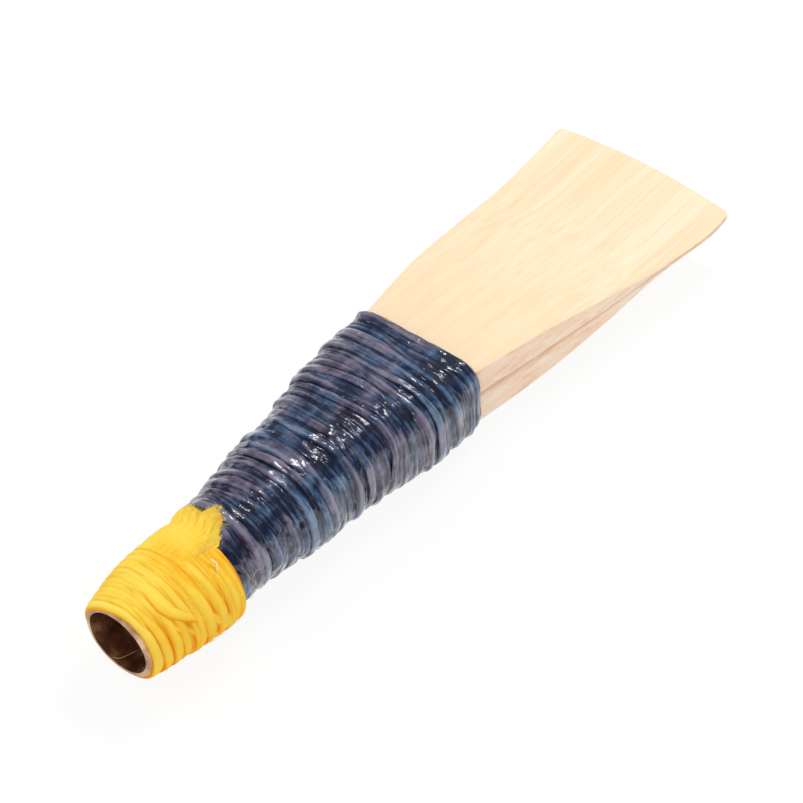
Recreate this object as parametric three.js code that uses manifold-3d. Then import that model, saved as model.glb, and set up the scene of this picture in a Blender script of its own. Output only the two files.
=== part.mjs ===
// A bagpipe chanter reed, lying level on its windings as it would on a bench.
// Millimetres, +Z up. The reed points along +X: the open end of its copper staple lies at -X, the lips at +X.
// The origin lies on the surface under the middle of the reed.
import * as THREE from "three";
import { mergeVertices } from "three/addons/utils/BufferGeometryUtils.js";
import Module from "manifold-3d";

const wasm = await Module();
wasm.setup();

// Staple: a copper tube, round at the seat end and pressed to an oval eye where the blades leave it.
const stapleLength = 25;
const stapleDiameter = 4.7;
const stapleWall = 0.4;
const stapleRoundLength = 8;
const eyeWidth = 6.2;
const eyeHeight = 2.72;
const rimChamfer = 0.06;

// Cane: two gouged blades whose pared tails clasp the staple and whose lips flare beyond it.
const caneBeyondStaple = 20;
const tailLength = 13.2;
const tailThickness = 0.3;
const rootSideThickness = 0.63;
const rootFaceThickness = 0.8;
const rootCrown = 0.2;
const lipWidth = 12.5;
const lipSideThickness = 0.15;
const lipCrown = 0.35;
const lipOpening = 0.44;
const lipLand = 0.5;
const lipCornerRadius = 0.6;
const lipBow = 0.25;
const arrisRadius = 0.25;
const seamGap = 0.06;
const tailSeamDegrees = 24;

// Binding: waxed thread over the tails, the outer layer wound over plain inner layers.
const bindingThread = 0.43;
const bindingLoops = 20;
const bindingShortOfEye = 0.2;
const bindingSideBuild = 0.56;

// Hemp: the packing that seats the reed in the chanter.
const hempFromRim = 0.4;
const hempLength = 5.95;
const hempThread = 0.38;
const hempLoops = 7;
const hempBuild = 0.51;
const hempToBinding = 0.12;
const hempTailLength = 1.95;
const hempTailThickness = 0.22;
const hempTailTip = 0.12;

// Clearance between pieces that touch, and the thinnest wall left in an inner layer.
const seatGap = 0.04;
const leastWall = 0.08;

// Facets round the reed: a winding's steps and the layers under it share them.
const around = 24;
const threadSides = 6;
const rimSegments = 48;
const alongSteps = 11;
const bladeSteps = 8;
const lipSteps = 4;

// Lengths along the reed, from the open end of the staple.
const reedLength = stapleLength + caneBeyondStaple;
const bindingTop = stapleLength - bindingShortOfEye;
const tailEnd = bindingTop - tailLength;
const hempEnd = hempFromRim + hempLength;
const bindingStart = hempEnd + hempToBinding;

// The reed lies on the thickest hemp and on the middle of its binding, both cut flat by a tenth of a thread.
const layRadius = stapleDiameter / 2 + seatGap + hempBuild + hempThread;
const flatCutShare = 0.1;
const axisHeight = layRadius - hempThread * flatCutShare;

// Share of the way from one length to another, kept between 0 and 1.
const shareOf = (x, from, to) => THREE.MathUtils.clamp((x - from) / (to - from), 0, 1);
const mix = THREE.MathUtils.lerp;

// Value at a share of the way along a table of [share of the way, share of the size].
function tableAt(tableShares, share) {
  const next = tableShares.findIndex(([at]) => at >= share);
  if (next <= 0) return next === 0 ? tableShares[0][1] : tableShares.at(-1)[1];
  const [fromAt, fromValue] = tableShares[next - 1];
  const [toAt, toValue] = tableShares[next];
  return mix(fromValue, toValue, (share - fromAt) / (toAt - fromAt));
}

// Staple: half width and half height of its outside, round first and then easing to the eye.
function stapleHalfSizes(x) {
  const ease = THREE.MathUtils.smoothstep(x, stapleRoundLength, stapleLength);
  return {
    halfWidth: mix(stapleDiameter, eyeWidth, ease) / 2,
    halfHeight: mix(stapleDiameter, eyeHeight, ease) / 2,
  };
}

// Cane: how its thickness, width and gouge run from the binding to the lips.
const widthShares = [[0, 0], [0.23, 0.31], [0.47, 0.53], [0.69, 0.77], [0.93, 0.99], [1, 1]];
const sideShares = [[0, 1], [0.23, 0.84], [0.47, 0.46], [0.69, 0.055], [0.93, 0.01], [1, 0]];
const gougeShares = [[0, 1], [0.23, 0.82], [0.47, 0.48], [0.69, 0.05], [0.93, 0.01], [1, 0]];
const tailSquareness = 2;
const rootSquareness = 5;
const boxedShare = 0.15;

// Outside of the pair of blades where they clasp the staple, with the tails' thickness before they begin.
function claspHalfSizes(x) {
  const { halfWidth, halfHeight } = stapleHalfSizes(x);
  const share = shareOf(x, tailEnd, bindingTop);
  return {
    halfWidth: halfWidth + seatGap + mix(tailThickness, rootSideThickness, share),
    halfHeight: halfHeight + seatGap + mix(tailThickness, rootFaceThickness, share),
    crown: rootCrown * share,
    squareness: mix(tailSquareness, rootSquareness, share ** 2),
  };
}

// Outside of the pair of blades at any place between their tails and the lips.
function bladeHalfSizes(x) {
  const root = claspHalfSizes(Math.min(x, bindingTop));
  const share = shareOf(x, bindingTop, reedLength);
  const rootSide = root.halfHeight - root.crown;
  const side = mix(lipSideThickness, rootSide, tableAt(sideShares, share));
  const crown = mix(root.crown, lipCrown, share);
  const intoCorner = shareOf(x, reedLength - lipCornerRadius, reedLength);
  const cornerLoss = lipCornerRadius * (1 - Math.sqrt(1 - intoCorner ** 2));
  return {
    halfWidth: mix(root.halfWidth, lipWidth / 2, tableAt(widthShares, share)) - cornerLoss,
    halfHeight: side + crown,
    crown,
    squareness: root.squareness,
    boxed: shareOf(share, 0, boxedShare),
  };
}

// Point of a rounded section, crowned across its face. An angle of 0 is +Y and a quarter turn is +Z.
function roundedPoint({ halfWidth, halfHeight, crown = 0, squareness = tailSquareness }, angle) {
  const c = Math.cos(angle);
  const s = Math.sin(angle);
  const y = halfWidth * Math.sign(c) * Math.abs(c) ** (2 / squareness);
  const side = (halfHeight - crown) * Math.abs(s) ** (2 / squareness);
  const rise = crown * (1 - (y / halfWidth) ** 2) * Math.min(1, Math.abs(s) / Math.sin(Math.PI / 4));
  return [y, Math.sign(s) * (side + rise)];
}

// Point of the upper half of a flat-sided section: upright side, rounded arris, crowned face.
const faceShares = [1, 1, 1, 1, 0.66, 0.33, 0];
function boxedPoint({ halfWidth, halfHeight, crown }, step) {
  const half = around / 2;
  const fromSide = Math.min(step, half - step);
  const side = halfHeight - crown;
  const radius = Math.min(arrisRadius, (side - seamGap / 2) / 2);
  const arrisSteps = [0, 0, 0.5, 1];
  const turn = (arrisSteps[fromSide] ?? 1) * (Math.PI / 2);
  const flat = halfWidth - radius;
  const y = fromSide < arrisSteps.length ? flat + radius * Math.cos(turn) : flat * faceShares[fromSide];
  const edge = side - radius + radius * Math.sin(turn);
  const z = fromSide === 0 ? 0 : edge + crown * (1 - (y / halfWidth) ** 2);
  return [step * 2 > half ? -y : y, z];
}

// Whole section as points round the reed, from +Y towards +Z.
const sectionOf = (sizes, steps = around) =>
  Array.from({ length: steps }, (_, step) => roundedPoint(sizes, (step / steps) * Math.PI * 2));

// Half sizes made larger all round.
const grown = (sizes, by) => ({
  ...sizes,
  halfWidth: sizes.halfWidth + by,
  halfHeight: sizes.halfHeight + by,
});

// Half sizes whose flat facets clear a round body of the given half sizes.
const facetSlack = 1 / Math.cos(Math.PI / around);
const clearing = (sizes) => ({
  ...sizes,
  halfWidth: (sizes.halfWidth + seatGap) * facetSlack,
  halfHeight: (sizes.halfHeight + seatGap) * facetSlack,
});

// Body whose surface runs through rings of points, closed on itself (a sleeve) or capped at both ends.
function bodyThroughRings(rings, capped) {
  const count = rings[0].length;
  const index = [];
  const corner = (ring, step) => (ring % rings.length) * count + (step % count);
  for (let ring = 0; ring < rings.length - (capped ? 1 : 0); ring++) {
    for (let step = 0; step < count; step++) {
      const [a, b] = [corner(ring, step), corner(ring, step + 1)];
      const [c, d] = [corner(ring + 1, step), corner(ring + 1, step + 1)];
      index.push(a, b, d, a, d, c);
    }
  }
  if (capped) {
    addCap(index, count, 0, false);
    addCap(index, count, (rings.length - 1) * count, true);
  }
  const geometry = new THREE.BufferGeometry();
  geometry.setAttribute("position", new THREE.Float32BufferAttribute(rings.flat(2), 3));
  geometry.setIndex(index);
  return facingOut(geometry);
}

// Cap: rungs from each point on the way out along a ring to the one facing it on the way back.
function addCap(index, count, first, far) {
  for (let step = 0; step + 1 < count / 2; step++) {
    const [a, b] = [first + step, first + step + 1];
    const [c, d] = [first + count - 2 - step, first + count - 1 - step];
    index.push(...(far ? [a, b, c, a, c, d] : [b, a, c, c, a, d]));
  }
}

// Solid of a closed surface, for cutting.
function solidOf(geometry) {
  const merged = mergeVertices(geometry);
  return new wasm.Manifold(
    new wasm.Mesh({
      numProp: 3,
      vertProperties: new Float32Array(merged.attributes.position.array),
      triVerts: new Uint32Array(merged.index.array),
    }),
  );
}

// Same surface with its faces turned outwards.
function facingOut(geometry) {
  if (solidOf(geometry).volume() > 0) return geometry;
  const index = geometry.index.array;
  for (let i = 0; i < index.length; i += 3) [index[i + 1], index[i + 2]] = [index[i + 2], index[i + 1]];
  return geometry;
}

// Ring of a section's points at one place along the reed.
const ringAt = (x, section) => section.map(([y, z]) => [x, y, z]);

// Evenly spaced places from one length to another, both included.
const placesBetween = (from, to, steps) =>
  Array.from({ length: steps + 1 }, (_, step) => mix(from, to, step / steps));

// Places where the flattening staple and what clasps it share their rings.
const flatteningPlaces = placesBetween(stapleRoundLength, stapleLength, alongSteps);
const placesWithin = (from, to) => [from, ...flatteningPlaces.filter((x) => x > from && x < to), to];

function makeStaple() {
  const outer = (x, by = 0) => ringAt(x, sectionOf(grown(stapleHalfSizes(x), by), rimSegments));
  const places = flatteningPlaces;
  const outside = [outer(0, -rimChamfer), outer(rimChamfer), ...places.map((x) => outer(x))];
  const inside = [...places].reverse().map((x) => outer(x, -stapleWall));
  const bore = [...inside, outer(rimChamfer, -stapleWall), outer(0, rimChamfer - stapleWall)];
  return bodyThroughRings([...outside, ...bore], false);
}

// Gouge of a blade: the clasped staple first, then a lens that thins to the lip opening.
function gougePoint(x, angle, seam) {
  const root = clearing(stapleHalfSizes(Math.min(x, stapleLength)));
  const share = shareOf(x, stapleLength, reedLength);
  const halfWidth = mix(root.halfWidth, lipWidth / 2 - lipLand, tableAt(widthShares, share));
  const halfHeight = mix(lipOpening / 2, root.halfHeight, tableAt(gougeShares, share));
  const [y, z] = roundedPoint({ halfWidth, halfHeight }, angle);
  return [y, Math.max(z, seam)];
}

// Ring round one blade: its outside over the top, then back through the gouge.
function bladeRing(x) {
  const half = around / 2;
  const sizes = bladeHalfSizes(x);
  const pared = 1 - shareOf(x, tailEnd, (tailEnd + bindingTop) / 2);
  const firstAngle = THREE.MathUtils.degToRad(tailSeamDegrees) * pared;
  const seam = Math.max(seamGap / 2, sizes.halfHeight * Math.sin(firstAngle));
  const angleOf = (step) => mix(firstAngle, Math.PI - firstAngle, step / half);
  const outside = Array.from({ length: half + 1 }, (_, step) => {
    const rounded = roundedPoint(sizes, angleOf(step));
    const boxed = boxedPoint(sizes, step);
    const [y, z] = rounded.map((value, axis) => mix(value, boxed[axis], sizes.boxed));
    return [y, Math.max(z, seamGap / 2)];
  });
  const inside = Array.from({ length: half + 1 }, (_, step) =>
    gougePoint(x, angleOf(half - step), seamGap / 2),
  );
  const bow = lipBow * shareOf(x, bindingTop, reedLength) ** 2;
  return [...outside, ...inside].map(([y, z]) => [x - bow * (y / (lipWidth / 2)) ** 2, y, z]);
}

function makeBlade() {
  const clasped = placesWithin(tailEnd, stapleLength);
  const beyond = placesBetween(stapleLength, reedLength - lipCornerRadius, bladeSteps).slice(1);
  const corner = Array.from({ length: lipSteps }, (_, step) => {
    const turn = ((step + 1) / lipSteps) * (Math.PI / 2);
    return reedLength - lipCornerRadius * (1 - Math.sin(turn));
  });
  return bodyThroughRings([...clasped, ...beyond, ...corner].map(bladeRing), true);
}

// Binding: what the outer thread lies on. Its sides swell with the layers and its top and bottom stay level.
const bindingSideShares = [
  [0, 0.22], [0.1, 0.26], [0.15, 0.34], [0.21, 0.57], [0.265, 0.71], [0.32, 0.8], [0.375, 0.71],
  [0.43, 0.48], [0.485, 0.52], [0.6, 0.62], [0.65, 0.89], [0.76, 1], [0.87, 0.91], [1, 0.54],
];
const bindingLevelShares = [
  [0, 0], [0.1, 0.12], [0.16, 0.47], [0.22, 0.65], [0.27, 0.85], [0.31, 1], [0.635, 1],
  [0.76, 0.82], [0.87, 0.3], [1, 0],
];
const rampShare = 0.85;

function bindingSeat(x) {
  const share = shareOf(x, bindingStart, bindingTop);
  const staple = stapleHalfSizes(x);
  const clasp = claspHalfSizes(x);
  const ramp = shareOf(x, mix(bindingStart, tailEnd, rampShare), tailEnd);
  const leastBuild = 2 * seatGap + leastWall;
  const sideBuild = Math.max(leastBuild, seatGap + bindingSideBuild * tableAt(bindingSideShares, share));
  const leastHeight = mix(staple.halfHeight, clasp.halfHeight, ramp) + leastBuild;
  const levelHeight = Math.max(leastHeight, layRadius - bindingThread);
  return {
    halfWidth: mix(staple.halfWidth, clasp.halfWidth, ramp) + sideBuild,
    halfHeight: mix(leastHeight, levelHeight, tableAt(bindingLevelShares, share)),
    crown: clasp.crown,
    squareness: clasp.squareness,
  };
}

function makeBindingCore() {
  const top = bindingTop - bindingThread / 2;
  const step = tailEnd - seatGap;
  const overStaple = placesWithin(bindingStart, step);
  const overCane = [step, ...placesWithin(tailEnd, top)];
  const places = [...new Set([...overStaple, ...overCane])];
  const outside = places.map((x) => ringAt(x, sectionOf(grown(bindingSeat(x), -seatGap))));
  const onCane = overCane.map((x) => ringAt(x, sectionOf(clearing(claspHalfSizes(x)))));
  const onStaple = overStaple.map((x) => ringAt(x, sectionOf(clearing(stapleHalfSizes(x)))));
  return bodyThroughRings([...outside, ...onCane.reverse(), ...onStaple.reverse()], false);
}

// Hemp: thin at the rim and thickest where it jams in the chanter.
const hempShares = [
  [0, 0], [0.05, 0.02], [0.185, 0.27], [0.353, 0.55], [0.52, 0.78], [0.69, 0.95],
  [0.8, 1], [0.94, 1], [1, 0.86],
];
const hempCoreShare = 0.2;

function hempSeat(x) {
  const radius =
    stapleDiameter / 2 + seatGap + hempBuild * tableAt(hempShares, shareOf(x, hempFromRim, hempEnd));
  return { halfWidth: radius, halfHeight: radius };
}

function makeHempCore() {
  const places = hempShares
    .map(([share]) => share)
    .filter((share) => share > hempCoreShare)
    .map((share) => mix(hempFromRim, hempEnd, share));
  const from = mix(hempFromRim, hempEnd, hempCoreShare);
  const outside = [from, ...places].map((x) => ringAt(x, sectionOf(grown(hempSeat(x), -seatGap))));
  const bore = [hempEnd, from].map((x) => ringAt(x, sectionOf(clearing(stapleHalfSizes(x)))));
  return bodyThroughRings([...outside, ...bore], false);
}

// Middle of a thread at one step of its winding, with the direction in which it stands off the seat.
function threadStep(step, { from, pitch, diameter, seat }) {
  const x = from + (pitch * step) / around;
  const section = sectionOf(seat(x));
  const at = ((step % around) + around) % around;
  const [before, here, after] = [-1, 0, 1].map((by) => section[(at + by + around) % around]);
  const normalOf = ([ya, za], [yb, zb]) => new THREE.Vector2(zb - za, ya - yb).normalize();
  const [normalIn, normalOut] = [normalOf(before, here), normalOf(here, after)];
  const stand = normalIn.clone().add(normalOut).divideScalar(1 + normalIn.dot(normalOut));
  const middle = new THREE.Vector3(x, here[0] + (stand.x * diameter) / 2, here[1] + (stand.y * diameter) / 2);
  return { middle, stand, normalIn, normalOut };
}

// Winding: one unbroken thread, mitred at each step, whose ends run straight for one diameter.
function windThread(name, { start, end, loops, diameter, seat }) {
  const from = start + diameter / 2;
  const pitch = (end - start - diameter) / loops;
  const winding = { from, pitch, diameter, seat };
  const steps = Array.from({ length: loops * around + 1 }, (_, step) => threadStep(step, winding));
  const straightEnd = (inner, outer, normal) => {
    const run = outer.middle.clone().sub(inner.middle).setLength(diameter);
    return { middle: inner.middle.clone().add(run), stand: normal };
  };
  const firstEnd = straightEnd(steps[0], threadStep(-1, winding), steps[0].normalIn);
  const lastEnd = straightEnd(steps.at(-1), threadStep(loops * around + 1, winding), steps.at(-1).normalOut);
  const route = [firstEnd, ...steps, lastEnd];
  const rings = route.map(({ middle, stand }) =>
    Array.from({ length: threadSides }, (_, side) => {
      const turn = (side / threadSides) * Math.PI * 2;
      const out = (Math.cos(turn) * diameter) / 2;
      const sideways = (Math.sin(turn) * diameter) / 2;
      return [middle.x + sideways, middle.y + stand.x * out, middle.z + stand.y * out];
    }),
  );
  console.log(name + " least gap to itself " + leastGap(route, diameter).toFixed(3) + " mm");
  return cutFlat(bodyThroughRings(rings, true));
}

// Least gap of a winding to itself, measured on points of its middle line at least half a loop apart.
function leastGap(route, diameter) {
  let least = Infinity;
  const points = route.flatMap(({ middle }, step) =>
    step + 1 < route.length ? [middle, middle.clone().lerp(route[step + 1].middle, 0.5)] : [middle],
  );
  for (let i = 0; i < points.length; i++)
    for (let j = i + around; j < points.length; j++) least = Math.min(least, points[i].distanceTo(points[j]));
  return least - diameter;
}

// Windings are cut flat where the reed lies on them.
function cutFlat(geometry) {
  const under = new THREE.BoxGeometry(reedLength, lipWidth, layRadius);
  under.translate(reedLength / 2, 0, -axisHeight - layRadius / 2);
  under.deleteAttribute("normal");
  under.deleteAttribute("uv");
  const cut = solidOf(geometry).subtract(solidOf(under)).getMesh();
  const result = new THREE.BufferGeometry();
  result.setAttribute("position", new THREE.BufferAttribute(cut.vertProperties, 3));
  result.setIndex(new THREE.BufferAttribute(cut.triVerts, 1));
  return result;
}

// Hemp tail: the combed-out end of the hemp, laid over the first turns of the binding in two ragged peaks.
const hempTailDegrees = [40, 49, 60, 70, 77, 87, 93, 100, 106, 114];
const hempTailShares = [0.12, 0.7, 0.66, 0.6, 0.59, 1, 0.97, 0.7, 0.44, 0.12];
const hempTailRows = 3;

function makeHempTail() {
  const from = hempEnd + seatGap;
  const to = from + hempTailLength;
  const covered = [from, to].map((x) => Math.max(bindingSeat(x).halfWidth, bindingSeat(x).halfHeight));
  const inner = (Math.max(...covered) + bindingThread + seatGap) * facetSlack;
  const rings = hempTailDegrees.map((degrees, column) => {
    const angle = THREE.MathUtils.degToRad(degrees);
    const reach = hempTailLength * hempTailShares[column];
    const pointAt = (x, radius) => [x, radius * Math.cos(angle), radius * Math.sin(angle)];
    const rows = placesBetween(0, reach, hempTailRows);
    const thickness = (along) => mix(hempTailThickness, hempTailTip, along / hempTailLength);
    const top = rows.map((along) => pointAt(from + along, inner + thickness(along)));
    const bottom = rows.reverse().map((along) => pointAt(from + along, inner));
    return [...top, ...bottom];
  });
  return bodyThroughRings(rings, true);
}

// Colours and finish of the materials.
const finishes = {
  copper: { color: 0xb9835a, roughness: 0.35, metalness: 1 },
  cane: { color: 0xf6dcb4, roughness: 0.6, metalness: 0 },
  waxedThread: { color: 0x2f3f58, roughness: 0.3, metalness: 0 },
  hemp: { color: 0xf7c63c, roughness: 0.85, metalness: 0 },
};

function addPiece(group, name, geometry, finish) {
  const mesh = new THREE.Mesh(geometry, new THREE.MeshStandardMaterial(finishes[finish]));
  mesh.name = name;
  geometry.computeVertexNormals();
  group.add(mesh);
  return mesh;
}

// Reed, built along its own axis and then lifted on to its windings.
const reed = new THREE.Group();
reed.name = "chanter_reed";
reed.position.set(-reedLength / 2, 0, axisHeight);

addPiece(reed, "staple", makeStaple(), "copper");
addPiece(reed, "upper_blade", makeBlade(), "cane");
addPiece(reed, "lower_blade", makeBlade(), "cane").rotation.x = Math.PI;
addPiece(reed, "binding_core", makeBindingCore(), "waxedThread");
addPiece(
  reed,
  "binding_thread",
  windThread("binding_thread", {
    start: bindingStart,
    end: bindingTop,
    loops: bindingLoops,
    diameter: bindingThread,
    seat: bindingSeat,
  }),
  "waxedThread",
);
addPiece(reed, "hemp_core", makeHempCore(), "hemp");
addPiece(
  reed,
  "hemp_thread",
  windThread("hemp_thread", {
    start: hempFromRim,
    end: hempEnd,
    loops: hempLoops,
    diameter: hempThread,
    seat: hempSeat,
  }),
  "hemp",
);
addPiece(reed, "hemp_tail", makeHempTail(), "hemp");

const part = new THREE.Group();
part.add(reed);

export default part;
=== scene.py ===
import math

import bpy
import numpy as np
from mathutils import Matrix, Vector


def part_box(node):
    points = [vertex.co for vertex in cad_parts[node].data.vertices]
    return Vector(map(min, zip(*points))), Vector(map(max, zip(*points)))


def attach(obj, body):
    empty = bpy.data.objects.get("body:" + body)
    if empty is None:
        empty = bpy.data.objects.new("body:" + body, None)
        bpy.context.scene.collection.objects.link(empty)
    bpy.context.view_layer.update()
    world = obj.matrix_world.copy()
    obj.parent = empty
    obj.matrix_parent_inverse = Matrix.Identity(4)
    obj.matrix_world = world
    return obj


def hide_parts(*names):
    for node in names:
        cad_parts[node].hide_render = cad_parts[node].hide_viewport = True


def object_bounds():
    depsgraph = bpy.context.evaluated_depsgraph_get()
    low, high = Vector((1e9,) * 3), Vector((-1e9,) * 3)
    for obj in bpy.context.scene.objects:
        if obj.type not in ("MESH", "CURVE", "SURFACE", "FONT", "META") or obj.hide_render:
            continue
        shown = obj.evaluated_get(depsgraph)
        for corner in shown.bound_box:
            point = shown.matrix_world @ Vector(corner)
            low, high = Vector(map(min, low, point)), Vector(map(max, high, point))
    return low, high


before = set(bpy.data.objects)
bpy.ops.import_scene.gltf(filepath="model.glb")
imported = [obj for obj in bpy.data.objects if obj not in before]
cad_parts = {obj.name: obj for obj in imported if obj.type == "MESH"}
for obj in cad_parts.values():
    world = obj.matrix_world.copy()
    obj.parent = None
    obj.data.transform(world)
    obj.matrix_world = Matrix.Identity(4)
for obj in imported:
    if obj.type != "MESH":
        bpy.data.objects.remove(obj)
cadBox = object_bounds()
print("frame loaded:", ", ".join(sorted(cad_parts)))

# Everything is worked out in millimetres along the reed's own axis, from the open rim of the staple.
mm = 0.001
stapleLow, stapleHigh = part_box("staple")
rimX = stapleLow[0]
axisZ = (stapleLow[2] + stapleHigh[2]) / 2
reedLength = (cadBox[1][0] - cadBox[0][0]) / mm
stapleLength = (stapleHigh[0] - stapleLow[0]) / mm
floorGap = 0.01  # that windings and fibres keep above the floor


def toWorld(points):
    return np.asarray(points, dtype=float) * mm + np.array([rimX, 0, axisZ])


def turnedTo(side, top, back, spot):  # matrix from three axes and a place
    turn = Matrix(np.column_stack([side, top, back]).tolist()).to_4x4()
    turn.translation = spot
    return turn


def addObject(name, data):
    made = bpy.data.objects.new(name, data)
    bpy.context.collection.objects.link(made)
    return made


camera = {
    "azimuth": -47.331, "elevation": 46.562, "roll": -3.922,
    "across": 15.435, "up": 11.403, "distance": 168.992,
    "viewAngle": 14, "sensor": 36,
}


def placeCamera():
    azimuth, elevation, roll = (math.radians(camera[key]) for key in ("azimuth", "elevation", "roll"))
    back = np.array([
        math.sin(azimuth) * math.cos(elevation),
        -math.cos(azimuth) * math.cos(elevation),
        math.sin(elevation),
    ])
    level = np.array([math.cos(azimuth), math.sin(azimuth), 0])
    upright = np.cross(back, level)
    side = level * math.cos(roll) + upright * math.sin(roll)
    top = upright * math.cos(roll) - level * math.sin(roll)
    spot = back * camera["distance"] + level * camera["across"] + upright * camera["up"]
    data = bpy.data.cameras.new("viewCamera")
    data.sensor_width = camera["sensor"]
    data.lens = camera["sensor"] / 2 / math.tan(math.radians(camera["viewAngle"]) / 2)
    data.clip_start = mm
    holder = addObject("viewCamera", data)
    holder.matrix_world = turnedTo(side, top, back, toWorld(spot))
    bpy.context.scene.camera = holder


placeCamera()
print("camera placed")


# Smooth curve through stations: a cubic between each two, whose slope at a station is that of its neighbours.
def curveThrough(at, stations, values):
    stations = np.asarray(stations, dtype=float)
    values = np.asarray(values, dtype=float)
    slopes = np.gradient(values, stations)
    at = np.clip(at, stations[0], stations[-1])
    left = np.clip(np.searchsorted(stations, at) - 1, 0, len(stations) - 2)
    span = stations[left + 1] - stations[left]
    t = (at - stations[left]) / span
    return (
        values[left] * (2 * t**3 - 3 * t**2 + 1)
        + slopes[left] * span * (t**3 - 2 * t**2 + t)
        + values[left + 1] * (3 * t**2 - 2 * t**3)
        + slopes[left + 1] * span * (t**3 - t**2)
    )


def atStations(piece, key, at):  # a piece's value between its stations
    return curveThrough(at, piece["stations"], piece[key])


def between(start, end, share):
    return start + (end - start) * share


def easeStep(value, low, high):  # 0 below low, 1 above high, smooth between
    t = np.clip((value - low) / (high - low), 0, 1)
    return t * t * (3 - 2 * t)


def hump(value, middle, spread):  # 1 at the middle, 0 far from it
    return np.exp(-(((value - middle) / spread) ** 2))


def fullTurn(count):
    return np.linspace(0, 2 * math.pi, count, endpoint=False)


# Slow random wander from -1 to 1: a random value at even knots, eased from one to the next.
def wander(at, spacing, seed):
    knots = np.random.default_rng(seed).uniform(-1, 1, int(np.max(at) / spacing) + 3)
    place = np.asarray(at, dtype=float) / spacing
    left = np.floor(place).astype(int)
    t = place - left
    ease = t * t * (3 - 2 * t)
    return knots[left] * (1 - ease) + knots[left + 1] * ease


# Point and outward normal of a rounded section, at an angle from +Y. The radius there is
# (|cos/a|^n + |sin/b|^n)^(-1/n), with a half width a, a half height b and a squareness n.
def sectionPoint(angle, halfWidth, halfHeight, squareness):
    c, s = np.cos(angle), np.sin(angle)
    powers = np.abs(c / halfWidth) ** squareness + np.abs(s / halfHeight) ** squareness
    radius = powers ** (-1 / squareness)
    y, z = radius * c, radius * s
    ny = np.sign(y) * np.abs(y / halfWidth) ** (squareness - 1) / halfWidth
    nz = np.sign(z) * np.abs(z / halfHeight) ** (squareness - 1) / halfHeight
    size = np.hypot(ny, nz)
    return np.stack([y, z], -1), np.stack([ny / size, nz / size], -1)


def keepOffFloor(grid):
    grid[..., 2] = np.maximum(grid[..., 2], floorGap - axisZ / mm)
    return grid


# Faces that close a grid's first row and its last: one each for "disc", a ladder of them between the two
# halves of a row for "rungs", and none for "loop", whose last row joins the first.
def closingFaces(columns, ends):
    ring = np.arange(columns)
    if ends == "disc":
        return [ring[::-1]], [ring]
    if ends == "rungs":
        half = np.arange(columns // 2 - 1)
        rungs = np.stack([half, half + 1, columns - 2 - half, columns - 1 - half], -1)
        return rungs[:, ::-1], rungs
    return [], []


# Faces point inwards when the volume they enclose, summed over triangles seen from the middle, is negative.
def pointInwards(points, faceSets):
    placed = (points - points.mean((0, 1))).reshape(-1, 3)
    volume = 0
    for faceSet in faceSets:
        corners = placed[faceSet]
        for third in range(2, corners.shape[1]):
            crossed = np.cross(corners[:, third - 1], corners[:, third])
            volume += np.einsum("ij,ij->", corners[:, 0], crossed)
    return volume < 0


# Mesh of one grid of points, or of several alike: rows run along a piece, columns run round it and close.
# The UV map holds millimetres along and round the piece, or round and along when it is turned. Its tones are
# a point's shade, how far out it lies, and a share that each material uses in its own way.
def addSurface(name, grids, tones, material, nodes=(), ends="disc", sharpFrom=None, turnMap=False):
    grids = np.asarray(grids, dtype=float)
    if grids.ndim == 3:
        grids = grids[None]
    count, rows, columns = grids.shape[:3]
    strips = rows if ends == "loop" else rows - 1
    row, column = np.meshgrid(np.arange(strips), np.arange(columns), indexing="ij")
    cornerRows = row.ravel()[:, None] + np.array([0, 0, 1, 1])
    cornerColumns = column.ravel()[:, None] + np.array([0, 1, 1, 0])
    quads = (cornerRows % rows) * columns + cornerColumns % columns
    first = grids[0]
    along = np.linalg.norm(np.diff(first, axis=0), axis=-1).mean(1).sum() / (rows - 1)
    across = np.linalg.norm(np.diff(first, axis=1), axis=-1).mean(0).sum() / (columns - 1)
    uvs = np.stack([cornerRows * along, cornerColumns * across], -1)
    if turnMap:
        uvs = uvs[..., ::-1]
    rowStarts = 0, (rows - 1) * columns
    caps = [np.array(cap) + at for cap, at in zip(closingFaces(columns, ends), rowStarts) if len(cap)]
    if pointInwards(first, [quads, *caps]):
        quads, uvs = quads[:, ::-1], uvs[:, ::-1]
        caps = [cap[:, ::-1] for cap in caps]
    gridStarts = (np.arange(count) * rows * columns)[:, None, None]
    faces = []
    for faceSet in [quads, *caps]:
        faces += (faceSet + gridStarts).reshape(-1, faceSet.shape[1]).tolist()
    capUvs = np.zeros((count * sum(cap.size for cap in caps), 2))
    faceUvs = np.vstack([np.tile(uvs.reshape(-1, 2), (count, 1)), capUvs])
    mesh = bpy.data.meshes.new(name)
    mesh.from_pydata(toWorld(grids.reshape(-1, 3)).tolist(), [], faces)
    mesh.uv_layers.new(name="alongRound").data.foreach_set("uv", faceUvs.ravel())
    mesh.polygons.foreach_set("use_smooth", np.ones(len(mesh.polygons), dtype=bool))
    if sharpFrom:
        mesh.set_sharp_from_angle(angle=math.radians(sharpFrom))
    stored = np.zeros(grids.shape)
    for channel, tone in enumerate(tones):
        stored[..., channel] = tone
    mesh.attributes.new("tone", "FLOAT_VECTOR", "POINT").data.foreach_set("vector", stored.ravel())
    mesh.materials.append(material)
    mesh.update()
    piece = addObject(name, mesh)
    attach(piece, "root")
    if nodes:
        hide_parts(*nodes)
    print("made", name, "with", len(mesh.polygons), "faces")


def startMaterial(name):
    material = bpy.data.materials.new(name)
    material.use_nodes = True
    return material, material.node_tree


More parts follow.
